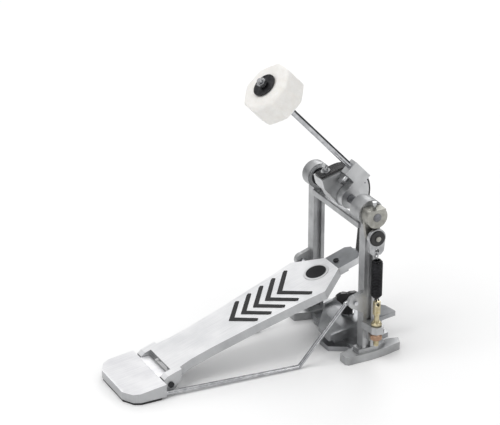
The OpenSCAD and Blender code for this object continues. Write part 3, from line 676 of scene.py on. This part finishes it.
def return_spring():
    low, high = (Vector(c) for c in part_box("return_spring"))
    rod_top = Vector(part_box("tension_rod")[1])
    x, y = (low.x + high.x) / 2, (low.y + high.y) / 2
    bottom = low.z + 2 * HOOK_REACH + 2.0 * MM
    top = high.z - 2 * HOOK_REACH - 4.2 * MM
    turns = int((top - bottom) / (2 * WIRE * COIL_GAP))
    coil_skin = wound_coil(x, y, bottom, top, (high.x - low.x) / 2 - WIRE, turns)
    hook_skin = lower_hook(x, y, rod_top.y - HOOK_SETBACK, low.z + HOOK_END_GAP, bottom)
    coil = new_piece("spring_coil", *joined(coil_skin, hook_skin), blacked_wire)
    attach(coil, "spring")
    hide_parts("return_spring")
    centre = Vector((x, 0.0, high.z - HOOK_REACH - HOOK_END_GAP))
    eye = new_piece("spring_eye", *upper_eye(x, y, centre, top), turned_steel)
    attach(eye, "link")
    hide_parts("return_spring")
    return turns

print("spring wound with", return_spring(), "turns")

# %% [markdown]
# Below the spring, a threaded rod runs through a shelf on the frame. Two nuts grip the shelf, and
# turning them pulls the rod down. Both nuts are knurled so that fingers can turn them: small ridges
# stand round each rim, and the edges are eased.

# %% Tension thread and knurled nuts
RIDGES, POINTS_PER_RIDGE, KNURL_DEPTH = 30, 6, 0.5 * MM
NUT_BORE, NUT_EASE = 3.12 * MM, 0.25 * MM
TENSION_THREAD_RADIUS, TENSION_THREAD_LONG = 2.98 * MM, 34 * MM

def knurled_nut(name, node, material):
    low, high = (Vector(c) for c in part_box(node))
    middle = (low + high) / 2
    reach = (high.x - low.x) / 2
    tall = high.z - low.z
    neck = NUT_BORE + 0.4 * MM
    profile = [(NUT_BORE, NUT_EASE, 0), (neck, 0, 0), (reach * 0.84, 0, 0), (reach * 0.95, 0.5 * MM, 0.4),
               (reach, 1.0 * MM, 1), (reach, tall * 0.5, 1), (reach * 0.96, tall * 0.56, 0.3),
               (reach * 0.82, tall * 0.6, 0), (reach * 0.82, tall - 0.5 * MM, 0), (reach * 0.76, tall, 0),
               (neck, tall, 0), (NUT_BORE, tall - NUT_EASE, 0)]
    around = RIDGES * POINTS_PER_RIDGE
    rings = []
    for radius, z, cut in profile:
        ring = []
        for k in range(around):
            angle = 2 * pi * k / around
            r = radius - cut * KNURL_DEPTH * (0.5 - 0.5 * cos(2 * pi * k / POINTS_PER_RIDGE))
            ring.append(Vector((middle.x + cos(angle) * r, middle.y + sin(angle) * r, low.z + z)))
        rings.append(ring)
    nut = new_piece(name, *skin(rings, through_bore=True), material)
    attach(nut, "tension_nuts")
    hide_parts(node)

knurled_nut("knurled_tension_nut", "tension_nut", copper_plate)
knurled_nut("knurled_lock_nut", "lock_nut", yellow_zinc)
rod_low, rod_high = (Vector(c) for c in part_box("tension_rod"))
thread_foot = ((rod_low.x + rod_high.x) / 2, (rod_low.y + rod_high.y) / 2, rod_low.z + 0.6 * MM)
thread("tension_thread", thread_foot, (0, 0, 1), TENSION_THREAD_LONG, TENSION_THREAD_RADIUS, yellow_zinc,
       "tension")
print("nuts and thread")

# %% [markdown]
# The drive strap is a flat nylon band, bolted on top of the cam and clamped to the board's toe.
# A band this short and stiff can't be draped by a simulation, so it's lofted along the model's own
# outline, seen from the side. It is made as two lengths: one stays wrapped on the cam and turns
# with it, the other is the free run that comes down with the board. Its edges are bound, a little
# thicker than the middle, and the whole is a hair smaller than the model's band.

# %% Drive strap
STRAP_THICK = 2.0 * MM
FIT_WIDE, FIT_THICK = 0.995, 0.98
TAIL_ANGLE = radians(105)
WRAP_STEPS, RUN_STEPS = 40, 24
WEAVE_UNIT = 10 * MM
BOUND_EDGE = [(-0.5, 0.36), (-0.5, 0.5), (-0.44, 0.5), (-0.4, 0.4), (0, 0.4), (0.4, 0.4), (0.44, 0.5),
              (0.5, 0.5), (0.5, 0.36), (0.5, -0.36), (0.5, -0.5), (0.44, -0.5), (0, -0.5), (-0.44, -0.5),
              (-0.5, -0.5), (-0.5, -0.36)]

def side_outline(node, origin):
    outline = {}
    for vertex in nodes[node].data.vertices:
        outline.setdefault((round(vertex.co.y, 6), round(vertex.co.z, 6)), vertex.co)
    return [p - origin for p in outline.values()]

def toward(angle):
    return Vector((0, cos(angle), sin(angle)))

def strap_paths(points):
    radii = [hypot(p.y, p.z) for p in points if p.z > 5 * MM and p.y > 8 * MM]
    outer = max(radii)
    thick = min(outer - min(radii), STRAP_THICK)
    middle = outer - thick / 2
    tail_way = toward(TAIL_ANGLE + pi / 2)
    tail = [p for p in points if p.y < 0 and p.z > 0]
    tail_long = max(tail_way.dot(Vector((0, p.y, p.z))) for p in tail)
    ends = sorted(points, key=lambda p: p.z)[:2]
    end = (ends[0] + ends[1]) / 2
    leave = atan2(end.z, end.y) + acos(middle / hypot(end.y, end.z))
    wrap = [toward(TAIL_ANGLE) * middle + tail_way * tail_long * t for t in (1, 0.75, 0.5, 0.25)]
    wrap += [toward(TAIL_ANGLE + (leave - TAIL_ANGLE) * k / WRAP_STEPS) * middle
             for k in range(WRAP_STEPS + 1)]
    start = toward(leave) * middle
    run = [start + (Vector((0, end.y, end.z)) - start) * k / RUN_STEPS for k in range(RUN_STEPS + 1)]
    return wrap, run, thick

def strap_length(name, path, body, centre, width, thick):
    rings, lengths, travel = [], [], 0.0
    for i, point in enumerate(path):
        out = Vector((1, 0, 0)).cross(heading(path, i))
        if out.dot(point) < 0:
            out = -out
        rings.append([centre + Vector((width * x * FIT_WIDE, 0, 0)) + point + out * thick * y * FIT_THICK
                      for x, y in BOUND_EDGE])
        travel += (point - path[i - 1]).length if i else 0
        lengths.append(travel)
    piece = new_piece(name, *skin(rings), webbing)
    uv = piece.data.uv_layers.new(name="along")
    for loop in piece.data.loops:
        ring, k = divmod(loop.vertex_index, len(BOUND_EDGE))
        across = BOUND_EDGE[k][0] * width
        uv.data[loop.index].uv = (across / WEAVE_UNIT, lengths[ring] / WEAVE_UNIT)
    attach(piece, body)
    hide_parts("drive_strap")

def strap():
    low, high = (Vector(c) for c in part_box("drive_strap"))
    axle_low, axle_high = (Vector(c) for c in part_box("axle"))
    axle = Vector((0, (axle_low.y + axle_high.y) / 2, (axle_low.z + axle_high.z) / 2))
    wrap, run, thick = strap_paths(side_outline("drive_strap", axle))
    centre = axle + Vector(((low.x + high.x) / 2, 0, 0))
    for name, path, body in (("strap_on_cam", wrap, "drive"), ("strap_free_run", run, "footboard")):
        strap_length(name, path, body, centre, high.x - low.x, thick)
    return len(wrap), len(run)

print("strap lengths", strap())
